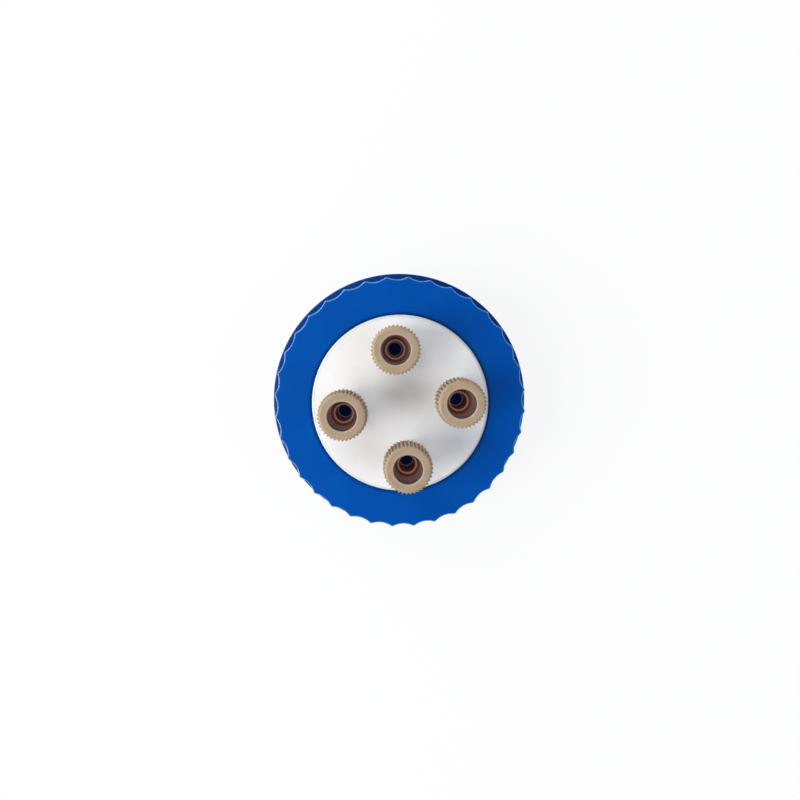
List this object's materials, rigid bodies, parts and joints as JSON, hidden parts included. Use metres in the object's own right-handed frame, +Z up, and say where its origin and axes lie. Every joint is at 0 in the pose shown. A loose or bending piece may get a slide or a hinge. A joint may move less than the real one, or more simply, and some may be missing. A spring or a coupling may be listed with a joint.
{
  "type": "four-port safety cap",
  "caption": "Blue fluted screw cap for a wide-neck laboratory bottle, with a swivelling white insert and knurled hollow screws that clamp tubes.",
  "frame": {"origin": "centre of the skirt's lower rim, on the surface the cap stands on", "axes": "+Z up along the cap's axis, out through the insert and the screws; the ports lie on a circle turned 6 degrees from +X"},
  "size_m": [0.0554, 0.0554, 0.0425],
  "materials": {
    "cap_plastic": "satin moulded polypropylene",
    "insert_plastic": "smooth turned white plastic",
    "screw_plastic": "tan moulded plastic, slightly translucent",
    "ferrule_plastic": "natural plastic",
    "seal_rubber": "smooth black rubber"
  },
  "bodies": {
    "cap": {"screw_cap": "cap_plastic"},
    "insert": {"insert": "insert_plastic", "rim_seal": "seal_rubber"},
    "ferrule_1": {"port_ferrule_1": "ferrule_plastic"},
    "screw_1": {"port_screw_1": "screw_plastic"},
    "ferrule_2": {"port_ferrule_2": "ferrule_plastic"},
    "screw_2": {"port_screw_2": "screw_plastic"},
    "ferrule_3": {"port_ferrule_3": "ferrule_plastic"},
    "screw_3": {"port_screw_3": "screw_plastic"},
    "ferrule_4": {"port_ferrule_4": "ferrule_plastic"},
    "screw_4": {"port_screw_4": "screw_plastic"}
  },
  "joints": [
    {"name": "insert_swivel", "type": "hinge", "parent": "cap", "child": "insert", "pos_m": [0, 0, 0], "axis": [0, 0, 1], "continuous": true},
    {"name": "port_1_travel", "type": "slide", "parent": "insert", "child": "ferrule_1", "axis": [0, 0, 1], "range_m": [0, 0.00363]},
    {"name": "port_1_turn", "type": "hinge", "parent": "ferrule_1", "child": "screw_1", "pos_m": [0.01144, 0.0012, 0.03], "axis": [0, 0, 1], "range_deg": [0, 1440]},
    {"name": "port_2_travel", "type": "slide", "parent": "insert", "child": "ferrule_2", "axis": [0, 0, 1], "range_m": [0, 0.00363]},
    {"name": "port_2_turn", "type": "hinge", "parent": "ferrule_2", "child": "screw_2", "pos_m": [-0.0012, 0.01144, 0.03], "axis": [0, 0, 1], "range_deg": [0, 1440]},
    {"name": "port_3_travel", "type": "slide", "parent": "insert", "child": "ferrule_3", "axis": [0, 0, 1], "range_m": [0, 0.00363]},
    {"name": "port_3_turn", "type": "hinge", "parent": "ferrule_3", "child": "screw_3", "pos_m": [-0.01144, -0.0012, 0.03], "axis": [0, 0, 1], "range_deg": [0, 1440]},
    {"name": "port_4_travel", "type": "slide", "parent": "insert", "child": "ferrule_4", "axis": [0, 0, 1], "range_m": [0, 0.00363]},
    {"name": "port_4_turn", "type": "hinge", "parent": "ferrule_4", "child": "screw_4", "pos_m": [0.0012, -0.01144, 0.03], "axis": [0, 0, 1], "range_deg": [0, 1440]}
  ],
  "couplings": [
    {"joint": "port_1_turn", "follows": "port_1_travel", "rad_per_m": 6926.3},
    {"joint": "port_2_turn", "follows": "port_2_travel", "rad_per_m": 6926.3},
    {"joint": "port_3_turn", "follows": "port_3_travel", "rad_per_m": 6926.3},
    {"joint": "port_4_turn", "follows": "port_4_travel", "rad_per_m": 6926.3}
  ]
}
